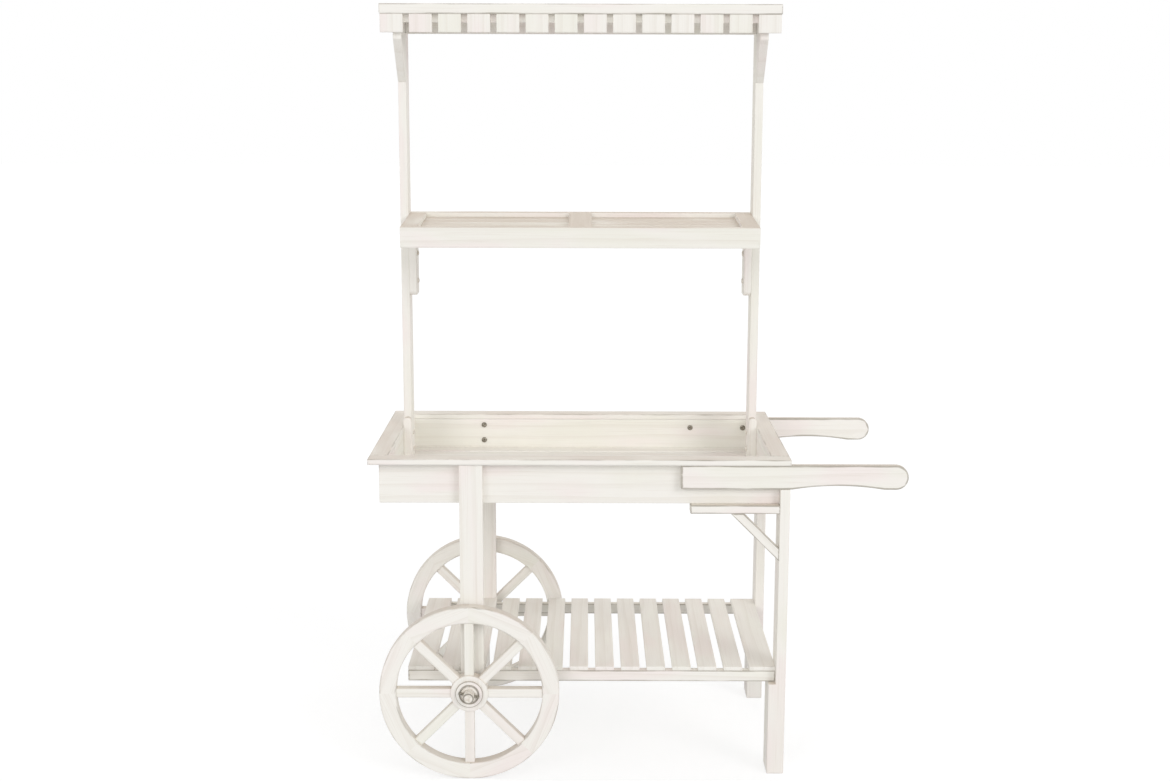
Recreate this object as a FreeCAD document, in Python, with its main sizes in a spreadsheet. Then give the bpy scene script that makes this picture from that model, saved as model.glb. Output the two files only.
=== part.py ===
import FreeCAD, Part
import Sketcher
import math
import os
import re

# Flower cart stand: a slatted display tray on two spoked wheels and two legs, with a pair of
# push handles, a slatted deck below, and two posts that carry a tilted shelf and a roof.
#
# Millimetres, +Z up. +X points along the handles, -Y is the front. The origin is the middle of
# the overall box, on the ground. Nearly every piece comes in front and back, or left and right,
# pairs that mirror each other.

doc = FreeCAD.newDocument("flower_cart_stand")
sizes = doc.addObject("Spreadsheet::Sheet", "sizes")

# ---------------------------------------------------------------- driving dimensions

SIZES = {
    # stock that most pieces are sawn from
    "board": 20,
    # tray
    "body_length": 947,
    "body_depth": 534,
    "body_height": 97,
    "rim_overhang": 24,
    "rim_top": 782,
    "rim_thick": 14,
    "floor_thick": 12,
    "floor_gap": 10,
    "floor_bearer_thick": 9,
    "floor_bearer_width": 40,
    # handles
    "handle_height": 58,
    "handle_lap": 234.5,
    "handle_reach": 300.5,
    "grip_start": 28,
    "grip_length": 216,
    "grip_rise": 9,
    # wheels
    "wheel_radius": 215,
    "wheel_thick": 30,
    "felloe_width": 40,
    "felloe_bevel": 1.5,
    "hub_radius": 45,
    "hub_bevel": 0.5,
    "boss_outer_radius": 33,
    "boss_inner_radius": 23,
    "boss_thick": 5,
    "boss_bevel": 1,
    "spoke_width": 23,
    "spoke_thick": 22,
    # axle and what is on it
    "axle_inset": 211.5,
    "axle_radius": 12.5,
    "axle_stub": 33,
    "bore_play": 0.06,
    "side_play": 0.3,
    "spacer_thick": 3.7,
    "spacer_radius": 24,
    "collar_radius": 20.5,
    "collar_thick": 5.2,
    "washer_bevel": 0.5,
    "pin_radius": 3,
    "pin_length": 50,
    "pin_turn": 11,
    # uprights
    "upright_width": 55,
    "upright_shift": 6,
    # legs, bearers and braces
    "leg_thick": 23,
    "leg_depth": 75,
    "foot_step": 17.5,
    "bearer_length": 211.5,
    "bearer_width": 40,
    "bearer_thick": 20,
    "brace_reach": 86,
    "brace_drop": 86,
    "brace_cut": 30,
    # lower deck
    "deck_inset": 61,
    "rail_height": 27,
    "rail_play": 0.5,
    "deck_slat_thick": 10,
    "deck_slat_width": 45,
    "deck_end_slat_width": 62.5,
    # posts and the cleats that hold them in the tray
    "post_depth": 63,
    "post_front": 105,
    "post_cleat_depth": 20,
    "post_cleat_height": 112,
    "post_cleat_round": 8,
    # tilted shelf
    "shelf_base": 1258,
    "shelf_depth": 260,
    "shelf_height": 50,
    "shelf_tilt": 4.1,
    "shelf_slat_gap": 6,
    "shelf_slat_thick": 10,
    "batten_thick": 11,
    "end_batten_width": 42,
    "mid_batten_width": 56,
    "shelf_cleat_thick": 18,
    "shelf_cleat_drop": 140,
    "shelf_cleat_round": 13,
    # roof
    "roof_top": 1836,
    "roof_overhang": 11.5,
    "roof_reach": 110,
    "roof_back_overhang": 22,
    "roof_thick": 24,
    "picket_inset": 2,
    "picket_gap": 15,
    "picket_drop": 44,
    "picket_thick": 12,
    "strip_thick": 18,
    "strip_height": 20,
    "bracket_drop": 118,
    "bracket_nose": 15,
    # screws, and where they are driven
    "head_radius": 7,
    "head_thick": 4,
    "screw_radius": 3,
    "screw_bite": 15,
    "screw_play": 0.1,
    "upright_screw_drop": 15,
    "upright_screw_rise": 20,
    "handle_screw_drop": 21.5,
    "handle_screw_inset": 40.5,
    "handle_screw_gap": 140,
    "leg_screw_inset": 17.5,
    "leg_screw_margin": 20,
    "post_screw_rise": 22,
    "post_screw_drop": 10,
    "cleat_screw_rise": 35,
    "cleat_screw_gap": 70,
}

# Counts of repeated pieces.
FLOOR_SLATS = 9
FLOOR_BEARERS = 3
DECK_SLATS = 14
SHELF_SLATS = 5
SHELF_BEARERS = 3
PICKETS = 14
SPOKES = 8

# Places and sizes that follow from the driving dimensions.
DERIVED = {
    "tray_x": "((rim_overhang - handle_reach) / 2)",
    "body_right": "(tray_x + body_length / 2)",
    "body_left": "(tray_x - body_length / 2)",
    "body_top": "(rim_top - rim_thick)",
    "body_base": "(body_top - body_height)",
    "body_face": "(body_depth / 2)",
    "outer_face": "(body_face + board)",
    "inner_face": "(body_face - board)",
    "inner_right": "(body_right - board)",
    "inner_left": "(body_left + board)",
    "inner_length": "(body_length - 2 * board)",
    "inner_depth": "(body_depth - 2 * board)",
    "rim_width": "(board + rim_overhang)",
    "floor_base": "(body_base + floor_bearer_thick)",
    "floor_top": "(floor_base + floor_thick)",
    "handle_base": "(body_top - handle_height)",
    "grip_radius": "((grip_length ^ 2 / 4 + grip_rise ^ 2) / (2 * grip_rise))",
    "axle_x": "(body_left + axle_inset)",
    "upright_x": "(axle_x + upright_shift)",
    "wheel_inner_face": "(outer_face + spacer_thick + side_play)",
    "wheel_outer_face": "(wheel_inner_face + wheel_thick)",
    "felloe_radius": "(wheel_radius - felloe_width)",
    "spoke_face": "(wheel_outer_face - (wheel_thick - spoke_thick) / 2)",
    "axle_end": "(wheel_outer_face + axle_stub)",
    "collar_face": "(wheel_outer_face + side_play + collar_thick)",
    "pin_y": "(collar_face + side_play + pin_radius)",
    "rail_base": "(wheel_radius + axle_radius + rail_play)",
    "rail_top": "(rail_base + rail_height)",
    "deck_length": "(body_length - deck_inset)",
    "deck_left": "(body_right - deck_length)",
    "post_back": "(post_front + post_depth)",
    "post_left": "(inner_left + board)",
    "post_right": "(inner_right - board)",
    "shelf_y": "(post_back - shelf_depth * cos(shelf_tilt))",
    "shelf_length": "(inner_length - 2 * board)",
    "shelf_inside": "(shelf_depth - 2 * board)",
    "shelf_slat_base": "(shelf_height - batten_thick - shelf_slat_thick)",
    "shelf_cleat_foot": "(shelf_base - shelf_cleat_drop)",
    "roof_length": "(body_length + 2 * roof_overhang)",
    "roof_front": "(post_front - roof_reach)",
    "roof_depth": "(roof_reach + post_depth + roof_back_overhang)",
    "roof_base": "(roof_top - roof_thick)",
    "picket_base": "(roof_base - picket_drop)",
    "picket_back": "(roof_front + picket_inset + picket_thick)",
    "picket_row": "(roof_length - 2 * picket_inset)",
}

for row, (alias, value) in enumerate(SIZES.items(), start=1):
    sizes.set(f"A{row}", alias.replace("_", " "))
    sizes.set(f"B{row}", str(value))
    sizes.setAlias(f"B{row}", alias)
doc.recompute()


def formula(text):
    """Writes out the derived names in a formula and points the rest at the sheet."""
    def swap(match):
        word = match.group(0)
        if word in DERIVED:
            return formula(DERIVED[word])
        return f"sizes.{word}" if word in SIZES else word

    return re.sub(r"[a-z][a-z_]*", swap, str(text))


def bind(thing, **values):
    """Binds properties of an object to formulas. A double underscore stands for a dot."""
    for name, text in values.items():
        thing.setExpression(name.replace("__", "."), formula(text))


def place(thing, x=0, y=0, z=0):
    """Binds the place of an object to formulas."""
    bind(thing, Placement__Base__x=x, Placement__Base__y=y, Placement__Base__z=z)
    return thing


def turn(thing, axis, degrees):
    """Turns an object about one of its own axes."""
    thing.Placement = FreeCAD.Placement(FreeCAD.Vector(0, 0, 0), FreeCAD.Rotation(axis, degrees))
    return thing


AXIS_X = FreeCAD.Vector(1, 0, 0)
AXIS_Y = FreeCAD.Vector(0, 1, 0)

# Where an outline's corners lie before its constraints move them.
ROUGH_PLACE = 200
ROUGH_SIZE = 100.0

# Two lengths closer than this are the same.
NEAR = 1e-6

# ---------------------------------------------------------------- kinds of piece

nodes = []


def keep(thing, label):
    """Names a finished sub-part."""
    thing.Label = label
    nodes.append(thing)
    return thing


def block(name, length, depth, height, x=0, y=0, z=0):
    """A straight sawn board."""
    box = doc.addObject("Part::Box", name)
    bind(box, Length=length, Width=depth, Height=height)
    return place(box, x, y, z)


def rod_y(name, radius, length, x, y, z):
    """A round bar that runs towards +Y from its place."""
    rod = turn(doc.addObject("Part::Cylinder", name), AXIS_X, -90)
    bind(rod, Radius=radius, Height=length)
    return place(rod, x, y, z)


def rod_x(name, radius, length, x, y, z):
    """A round bar that runs towards +X from its place."""
    rod = turn(doc.addObject("Part::Cylinder", name), AXIS_Y, 90)
    bind(rod, Radius=radius, Height=length)
    return place(rod, x, y, z)


def joined(name, pieces):
    """Several shapes made one solid."""
    whole = doc.addObject("Part::MultiFuse", name)
    whole.Shapes = pieces
    whole.Refine = True
    return whole


def group(name, pieces):
    """Separate solids kept as one sub-part."""
    whole = doc.addObject("Part::Compound", name)
    whole.Links = pieces
    return whole


def without(name, base, tool):
    """A shape with another taken out of it."""
    rest = doc.addObject("Part::Cut", name)
    rest.Base = base
    rest.Tool = tool
    return rest


def mirrored(name, source, normal, x="0"):
    """A mirror copy across the plane through X = x, Y = 0."""
    copy = doc.addObject("Part::Mirroring", name)
    copy.Source = source
    copy.Normal = normal
    bind(copy, Base__x=x)
    return copy


def front_and_back(label, thing):
    """Keeps a piece at the front and its mirror copy at the back."""
    front = keep(thing, f"front_{label}")
    back = keep(mirrored(f"back_{label}", thing, AXIS_Y), f"back_{label}")
    return front, back


def left_and_right(label, thing):
    """Keeps a piece at the right and its mirror copy at the left."""
    right = keep(thing, f"right_{label}")
    left = keep(mirrored(f"left_{label}", thing, AXIS_X, "tray_x"), f"left_{label}")
    return left, right


def outline(body, name, plane_role, corners):
    """A closed outline of straight edges. Each corner is held by its two distances from the
    origin, and a corner on an axis stays on that axis."""
    sketch = body.newObject("Sketcher::SketchObject", name)
    plane = [feature for feature in body.Origin.OriginFeatures if feature.Role == plane_role][0]
    sketch.AttachmentSupport = [(plane, "")]
    sketch.MapMode = "FlatFace"
    count = len(corners)
    start = [FreeCAD.Vector(ROUGH_PLACE + ROUGH_SIZE * math.cos(2 * math.pi * i / count),
                            ROUGH_PLACE + ROUGH_SIZE * math.sin(2 * math.pi * i / count), 0)
             for i in range(count)]
    for i in range(count):
        sketch.addGeometry(Part.LineSegment(start[i], start[(i + 1) % count]), False)
    for i in range(count):
        sketch.addConstraint(Sketcher.Constraint("Coincident", i, 2, (i + 1) % count, 1))
    for i, (along, up) in enumerate(corners):
        for kind, axis, text in (("DistanceX", -2, along), ("DistanceY", -1, up)):
            if text == "0":
                sketch.addConstraint(Sketcher.Constraint("PointOnObject", i, 1, axis))
                continue
            index = sketch.addConstraint(Sketcher.Constraint(kind, -1, 1, i, 1, ROUGH_SIZE))
            sketch.renameConstraint(index, f"{kind.lower()}_{i}")
            sketch.setExpression(f"Constraints.{kind.lower()}_{i}", formula(text))
    return sketch


def sawn(name, plane_role, corners, thickness, rounded=None):
    """A board cut to an outline. Its thickness runs along the plane's normal."""
    body = doc.addObject("PartDesign::Body", name)
    sketch = outline(body, f"{name}_outline", plane_role, corners)
    pad = body.newObject("PartDesign::Pad", f"{name}_pad")
    pad.Profile = sketch
    bind(pad, Length=thickness)
    doc.recompute()
    if rounded:
        edge_test, radius = rounded
        names = [f"Edge{i + 1}" for i, edge in enumerate(pad.Shape.Edges) if edge_test(edge)]
        fillet = body.newObject("PartDesign::Fillet", f"{name}_round")
        fillet.Base = (pad, names)
        bind(fillet, Radius=radius)
        body.Tip = fillet
    return body


def along_y_at_top(edge):
    """True for the upper edges that run along Y."""
    start, end = (vertex.Point for vertex in edge.Vertexes)
    return start.z > NEAR and abs(start.x - end.x) < NEAR and abs(start.z - end.z) < NEAR


def along_y_at_foot(edge):
    """True for the edge along Y at the origin's own corner."""
    return all(abs(vertex.X) < NEAR and abs(vertex.Z) < NEAR for vertex in edge.Vertexes)


def ring(name, inner, outer, width, bevel):
    """A turned ring about the Y axis, its edges broken by a small bevel."""
    body = doc.addObject("PartDesign::Body", name)
    section = outline(body, f"{name}_section", "XY_Plane", [
        (f"{inner} + {bevel}", "0"), (f"{outer} - {bevel}", "0"), (outer, bevel),
        (outer, f"{width} - {bevel}"), (f"{outer} - {bevel}", width),
        (f"{inner} + {bevel}", width), (inner, f"{width} - {bevel}"), (inner, bevel)])
    turned = body.newObject("PartDesign::Revolution", f"{name}_turning")
    turned.Profile = section
    turned.ReferenceAxis = (section, ["V_Axis"])
    turned.Angle = 360
    return body


def screws_y(label, places, head_face):
    """Wood screws driven from inside the tray towards -Y, and the holes they run in."""
    reach = "(board + screw_bite)"
    screws, holes = [], []
    for i, (x, z) in enumerate(places):
        name = f"{label}_{i}"
        head = rod_y(f"{name}_head", "head_radius", "head_thick", x, f"-{head_face}", z)
        shank = rod_y(f"{name}_shank", "screw_radius", reach, x, f"-{head_face} - {reach}", z)
        screws.append(joined(f"{name}_screw", [head, shank]))
        holes.append(rod_y(f"{name}_hole", "screw_radius + screw_play", f"{reach} + screw_play",
                           x, f"-{head_face} - {reach} - screw_play", z))
    return group(f"{label}_screw_pair", screws), group(f"{label}_holes", holes)


def screws_x(label, places, head_face, first_piece):
    """Wood screws driven towards +X through one piece into the next, and their holes."""
    reach = f"({first_piece} + screw_bite)"
    screws, holes = [], []
    for i, (y, z) in enumerate(places):
        name = f"{label}_{i}"
        head = rod_x(f"{name}_head", "head_radius", "head_thick",
                     f"{head_face} - head_thick", y, z)
        shank = rod_x(f"{name}_shank", "screw_radius", reach, head_face, y, z)
        screws.append(joined(f"{name}_screw", [head, shank]))
        holes.append(rod_x(f"{name}_hole", "screw_radius + screw_play", f"{reach} + screw_play",
                           head_face, y, z))
    return group(f"{label}_screw_pair", screws), group(f"{label}_holes", holes)


# ---------------------------------------------------------------- screws and their holes

upright_screws, upright_holes = screws_y(
    "upright", [("upright_x", "body_top - upright_screw_drop"),
                ("upright_x", "floor_top + upright_screw_rise")],
    "inner_face")
handle_screws, handle_holes = screws_y(
    "handle", [("body_right - handle_screw_inset", "body_top - handle_screw_drop"),
               ("body_right - handle_screw_inset - handle_screw_gap",
                "body_top - handle_screw_drop")],
    "inner_face")
leg_screws, leg_holes = screws_x(
    "leg", [("-(inner_face - leg_screw_inset)", "floor_top + leg_screw_margin"),
            ("-(inner_face - leg_screw_inset)", "body_top - leg_screw_margin")],
    "inner_right", "board")
post_screws, post_holes = screws_x(
    "post", [("post_front + post_depth / 2", "floor_top + post_screw_rise"),
             ("post_front + post_depth / 2", "body_top - post_screw_drop")],
    "post_right", "board")
cleat_screws, cleat_holes = screws_x(
    "cleat", [("post_front + post_depth / 2", "shelf_cleat_foot + cleat_screw_rise"),
              ("post_front + post_depth / 2",
               "shelf_cleat_foot + cleat_screw_rise + cleat_screw_gap")],
    "post_right - shelf_cleat_thick", "shelf_cleat_thick")

for label, screws, normal in (
        ("upright_screws", upright_screws, AXIS_Y), ("handle_screws", handle_screws, AXIS_Y),
        ("leg_screws", leg_screws, AXIS_Y), ("post_screws", post_screws, AXIS_X),
        ("shelf_cleat_screws", cleat_screws, AXIS_X)):
    others = mirrored(f"{label}_across", screws, normal, "tray_x" if normal is AXIS_X else "0")
    keep(group(f"{label}_set", [screws, others]), label)

# ---------------------------------------------------------------- tray

wall_blank = block("wall_blank", "body_length", "board", "body_height",
                   "body_left", "-body_face", "body_base")
wall_holes = group("wall_holes", [upright_holes, handle_holes])
front_and_back("tray_wall", without("tray_wall", wall_blank, wall_holes))

right_end_blank = block("right_end_blank", "board", "inner_depth", "body_height",
                        "inner_right", "-inner_face", "body_base")
right_end_holes = group("right_end_holes", [
    leg_holes, mirrored("leg_holes_back", leg_holes, AXIS_Y), post_holes])
keep(without("right_end", right_end_blank, right_end_holes), "right_tray_end")

# No leg is screwed to the left end.
left_end_blank = block("left_end_blank", "board", "inner_depth", "body_height",
                       "body_left", "-inner_face", "body_base")
left_end_holes = mirrored("left_end_holes", post_holes, AXIS_X, "tray_x")
keep(without("left_end", left_end_blank, left_end_holes), "left_tray_end")

front_and_back("rim_board", block(
    "rim_board", "body_length + 2 * rim_overhang", "rim_width", "rim_thick",
    "body_left - rim_overhang", "-(body_face + rim_overhang)", "body_top"))
left_and_right("rim_board", block(
    "rim_side_board", "rim_width", "inner_depth", "rim_thick",
    "inner_right", "-inner_face", "body_top"))

floor_slat_width = f"((inner_depth - {FLOOR_SLATS - 1} * floor_gap) / {FLOOR_SLATS})"
keep(group("floor_slats", [
    block(f"floor_slat_{i}", "inner_length", floor_slat_width, "floor_thick",
          "inner_left", f"-inner_face + {i} * ({floor_slat_width} + floor_gap)", "floor_base")
    for i in range(FLOOR_SLATS)]), "tray_floor_slats")

floor_bearer_pitch = f"((inner_length - floor_bearer_width) / {FLOOR_BEARERS - 1})"
keep(group("floor_bearers", [
    block(f"floor_bearer_{i}", "floor_bearer_width", "inner_depth", "floor_bearer_thick",
          f"inner_left + {i} * {floor_bearer_pitch}", "-inner_face", "body_base")
    for i in range(FLOOR_BEARERS)]), "tray_floor_bearers")

# ---------------------------------------------------------------- handles

handle_bar = block("handle_bar", "handle_lap + handle_reach - handle_height / 2", "board",
                   "handle_height", "body_right - handle_lap", "-outer_face", "handle_base")
handle_nose = rod_y("handle_nose", "handle_height / 2", "board",
                    "body_right + handle_reach - handle_height / 2", "-outer_face",
                    "handle_base + handle_height / 2")
grip_hollow = rod_y("grip_hollow", "grip_radius", "board",
                    "body_right + grip_start + grip_length / 2", "-outer_face",
                    "handle_base + grip_rise - grip_radius")
handle_cuts = group("handle_cuts", [grip_hollow, handle_holes])
front_and_back("handle", without(
    "handle", joined("handle_blank", [handle_bar, handle_nose]), handle_cuts))

# ---------------------------------------------------------------- uprights

upright_bar = block("upright_bar", "upright_width", "board", "body_top - wheel_radius",
                    "upright_x - upright_width / 2", "-outer_face", "wheel_radius")
upright_foot = rod_y("upright_foot", "upright_width / 2", "board",
                     "upright_x", "-outer_face", "wheel_radius")
axle_hole = rod_y("axle_hole", "axle_radius", "board", "axle_x", "-outer_face", "wheel_radius")
upright_cuts = group("upright_cuts", [axle_hole, upright_holes])
front_and_back("upright", without(
    "upright", joined("upright_blank", [upright_bar, upright_foot]), upright_cuts))

# ---------------------------------------------------------------- legs, bearers and braces

leg_blank = place(
    sawn("leg_blank", "XZ_Plane", [
        ("0", "0"), ("foot_step + leg_thick", "0"), ("foot_step + leg_thick", "body_top"),
        ("foot_step", "body_top"), ("foot_step", "rail_base"), ("0", "rail_base")],
        "leg_depth"),
    "body_right - foot_step", "-(outer_face - leg_depth)", 0)
handle_notch = block("handle_notch", "leg_thick", "board", "handle_height",
                     "body_right", "-outer_face", "handle_base")
leg_cuts = group("leg_cuts", [handle_notch, leg_holes])
front_and_back("leg", without("leg", leg_blank, leg_cuts))

front_and_back("bearer", block(
    "bearer", "bearer_length", "bearer_width", "bearer_thick",
    "body_right - bearer_length", "-(inner_face + bearer_width)", "body_base - bearer_thick"))

brace_slope = "(brace_drop / brace_reach)"
brace_span = "(brace_reach + brace_cut)"
front_and_back("brace", place(
    sawn("brace", "XZ_Plane", [
        ("0", f"{brace_slope} * {brace_span}"), (brace_span, "0"),
        (brace_span, f"{brace_slope} * brace_cut"),
        ("brace_cut", f"{brace_slope} * {brace_span}")],
        "board"),
    f"body_right - {brace_span}", "-body_face",
    f"body_base - bearer_thick - {brace_slope} * {brace_span}"))

# ---------------------------------------------------------------- lower deck

# The rails lie over the axle and on the steps of the legs.
front_and_back("deck_rail", block(
    "deck_rail", "deck_length", "board", "rail_height", "deck_left", "-body_face", "rail_base"))

# The two end slats are wider, and the gaps take up what the slats leave.
deck_gap = (f"((deck_length - 2 * deck_end_slat_width - {DECK_SLATS - 2} * deck_slat_width)"
            f" / {DECK_SLATS - 1})")
deck_slats = []
for i in range(DECK_SLATS):
    first, last = i == 0, i == DECK_SLATS - 1
    slat_x = "deck_left" if first else (
        f"deck_left + deck_end_slat_width + {i} * {deck_gap} + {i - 1} * deck_slat_width")
    deck_slats.append(block(
        f"deck_slat_{i}", "deck_end_slat_width" if first or last else "deck_slat_width",
        "body_depth", "deck_slat_thick", slat_x, "-body_face", "rail_top"))
keep(group("deck_slats", deck_slats), "deck_slats")

# ---------------------------------------------------------------- axle and wheels

axle_bar = rod_y("axle_bar", "axle_radius", "2 * axle_end", "axle_x", "-axle_end",
                 "wheel_radius")
pin = rod_x("pin", "pin_radius", "pin_length", "axle_x - pin_length / 2 * cos(pin_turn)",
            "-pin_y", "wheel_radius + pin_length / 2 * sin(pin_turn)")
bind(pin, Placement__Rotation__Angle="90 + pin_turn")
pins = group("pins", [pin, mirrored("pin_back", pin, AXIS_Y)])
keep(without("axle_drilled", axle_bar, pins), "axle")
keep(pins, "axle_pins")


def on_axle(label, inner, outer, width, bevel, outer_end):
    """A pair of rings around the axle. The place of each is its end farthest from the tray."""
    front_and_back(label, place(
        ring(label, inner, outer, width, bevel), "axle_x", f"-{outer_end}", "wheel_radius"))


on_axle("axle_spacer", "axle_radius", "spacer_radius", "spacer_thick", "washer_bevel",
        "(outer_face + spacer_thick)")
on_axle("axle_collar", "axle_radius", "collar_radius", "collar_thick", "washer_bevel",
        "collar_face")
on_axle("wheel_rim", "felloe_radius", "wheel_radius", "wheel_thick", "felloe_bevel",
        "wheel_outer_face")
on_axle("wheel_hub", "(axle_radius + bore_play)", "hub_radius", "wheel_thick", "hub_bevel",
        "wheel_outer_face")
on_axle("wheel_boss", "boss_inner_radius", "boss_outer_radius", "boss_thick", "boss_bevel",
        "(wheel_outer_face + boss_thick)")

spoke_field = without(
    "spoke_field",
    rod_y("spoke_reach", "felloe_radius", "spoke_thick", "axle_x", "-spoke_face",
          "wheel_radius"),
    rod_y("spoke_root", "hub_radius", "spoke_thick", "axle_x", "-spoke_face",
          "wheel_radius"))


def spoke(number):
    """One spoke, which runs from the hub to the rim."""
    degrees = 360 * number / SPOKES
    blank = turn(doc.addObject("Part::Box", f"spoke_{number}_blank"), AXIS_Y, degrees)
    bind(blank, Length="spoke_width", Width="spoke_thick", Height="wheel_radius")
    place(blank, f"axle_x - spoke_width / 2 * cos({degrees})", "-spoke_face",
          f"wheel_radius + spoke_width / 2 * sin({degrees})")
    trimmed = doc.addObject("Part::Common", f"spoke_{number}")
    trimmed.Base = blank
    trimmed.Tool = spoke_field
    return trimmed


front_and_back("wheel_spokes", group("wheel_spokes", [spoke(i) for i in range(SPOKES)]))

# ---------------------------------------------------------------- posts

post_blank = block("post_blank", "board", "post_depth", "roof_base - floor_top",
                   "post_right", "post_front", "floor_top")
left_and_right("post", without(
    "post", post_blank, group("post_cuts", [post_holes, cleat_holes])))

left_and_right("post_cleat", place(
    sawn("post_cleat", "XZ_Plane",
         [("0", "0"), ("board", "0"), ("board", "post_cleat_height"),
          ("0", "post_cleat_height")],
         "post_cleat_depth", rounded=(along_y_at_top, "post_cleat_round")),
    "post_right", "post_front", "floor_top"))

# ---------------------------------------------------------------- tilted shelf


def tilted(thing, x, y, z):
    """Puts a shelf piece, given in the shelf's own level frame, at the shelf's tilt."""
    turn(thing, AXIS_X, SIZES["shelf_tilt"])
    bind(thing, Placement__Rotation__Angle="shelf_tilt")
    return place(thing, f"post_left + {x}",
                 f"shelf_y + ({y}) * cos(shelf_tilt) - ({z}) * sin(shelf_tilt)",
                 f"shelf_base + ({y}) * sin(shelf_tilt) + ({z}) * cos(shelf_tilt)")


def shelf_piece(name, length, depth, height, x, y, z):
    """A straight board of the tilted shelf."""
    box = doc.addObject("Part::Box", name)
    bind(box, Length=length, Width=depth, Height=height)
    return tilted(box, x, y, z)


keep(shelf_piece("shelf_front_piece", "shelf_length", "board", "shelf_height", "0", "0", "0"),
     "shelf_front_board")
keep(shelf_piece("shelf_back_piece", "shelf_length", "board", "shelf_height",
                 "0", "shelf_depth - board", "0"), "shelf_back_board")

shelf_slat_width = f"((shelf_inside - {SHELF_SLATS - 1} * shelf_slat_gap) / {SHELF_SLATS})"
keep(group("shelf_slats", [
    shelf_piece(f"shelf_slat_{i}", "shelf_length", shelf_slat_width, "shelf_slat_thick", "0",
                f"board + {i} * ({shelf_slat_width} + shelf_slat_gap)", "shelf_slat_base")
    for i in range(SHELF_SLATS)]), "shelf_slats")
keep(group("shelf_battens", [
    shelf_piece(f"shelf_batten_{i}", width, "shelf_inside", "batten_thick", x, "board",
                "shelf_height - batten_thick")
    for i, (width, x) in enumerate([
        ("end_batten_width", "0"),
        ("mid_batten_width", "(shelf_length - mid_batten_width) / 2"),
        ("end_batten_width", "shelf_length - end_batten_width")])]), "shelf_battens")
keep(group("shelf_bearers", [
    shelf_piece(f"shelf_bearer_{i}", "board", "shelf_inside", "shelf_slat_base",
                f"{i} * (shelf_length - board) / {SHELF_BEARERS - 1}", "board", "0")
    for i in range(SHELF_BEARERS)]), "shelf_bearers")

# The cleats under the shelf are cut to its slope.
cleat_front_height = "(shelf_cleat_drop + (post_front - shelf_y) * tan(shelf_tilt))"
cleat_back_height = "(shelf_cleat_drop + (post_back - shelf_y) * tan(shelf_tilt))"
shelf_cleat_blank = place(
    sawn("shelf_cleat_blank", "YZ_Plane",
         [("0", "0"), ("post_depth", "0"), ("post_depth", cleat_back_height),
          ("0", cleat_front_height)],
         "shelf_cleat_thick", rounded=(along_y_at_foot, "shelf_cleat_round")),
    "post_right - shelf_cleat_thick", "post_front", "shelf_cleat_foot")
left_and_right("shelf_cleat", without("shelf_cleat", shelf_cleat_blank, cleat_holes))

# ---------------------------------------------------------------- roof

keep(block("roof_top_board", "roof_length", "roof_depth", "roof_thick",
           "tray_x - roof_length / 2", "roof_front", "roof_base"), "roof_board")

picket_width = f"((picket_row - {PICKETS - 1} * picket_gap) / {PICKETS})"
keep(group("pickets", [
    block(f"picket_{i}", picket_width, "picket_thick", "picket_drop",
          f"tray_x - picket_row / 2 + {i} * ({picket_width} + picket_gap)",
          "roof_front + picket_inset", "picket_base")
    for i in range(PICKETS)]), "roof_pickets")
keep(block("nailing_strip", "picket_row", "strip_thick", "strip_height",
           "tray_x - picket_row / 2", "picket_back", "roof_base - strip_height"),
     "roof_nailing_strip")
keep(block("post_rail", "shelf_length", "board", "picket_drop", "post_left", "post_front",
           "picket_base"), "roof_rail")

bracket_reach = "(post_front - picket_back)"
bracket_height = "(picket_drop + bracket_drop)"
left_and_right("roof_bracket", place(
    sawn("roof_bracket", "YZ_Plane", [
        (bracket_reach, "0"), (bracket_reach, bracket_height), ("strip_thick", bracket_height),
        ("strip_thick", f"{bracket_height} - strip_height"),
        ("0", f"{bracket_height} - strip_height"), ("0", "bracket_drop - bracket_nose")],
        "board"),
    "post_right", "picket_back", "picket_base - bracket_drop"))

# ---------------------------------------------------------------- checks and files

doc.recompute()
broken = [thing.Name for thing in doc.Objects
          if "Invalid" in thing.State or "Error" in thing.State]
if broken:
    raise RuntimeError(f"objects that failed: {broken}")
for node in nodes:
    if node.Shape.isNull() or not node.Shape.isValid() or not node.Shape.Solids:
        raise RuntimeError(f"sub-part without a valid solid: {node.Label}")

os.makedirs("parts", exist_ok=True)
for node in nodes:
    node.Shape.exportStep(f"parts/{node.Label}.step")
    box = node.Shape.BoundBox
    print(f"{node.Label:24s} solids {len(node.Shape.Solids):2d}"
          f"  x {box.XMin:8.1f} {box.XMax:8.1f}  y {box.YMin:8.1f} {box.YMax:8.1f}"
          f"  z {box.ZMin:8.1f} {box.ZMax:8.1f}  volume {node.Shape.Volume / 1000:10.1f} cm3")
print(f"{len(nodes)} sub-parts")
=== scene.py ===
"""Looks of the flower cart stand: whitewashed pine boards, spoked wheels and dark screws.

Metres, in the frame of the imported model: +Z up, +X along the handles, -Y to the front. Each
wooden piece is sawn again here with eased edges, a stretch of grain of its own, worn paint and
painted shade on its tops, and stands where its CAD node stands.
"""

import logging
import math
import random
from collections.abc import Callable, Iterable, Sequence
from dataclasses import dataclass
from enum import Enum

import bmesh
import bpy
from mathutils import Matrix, Vector


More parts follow.
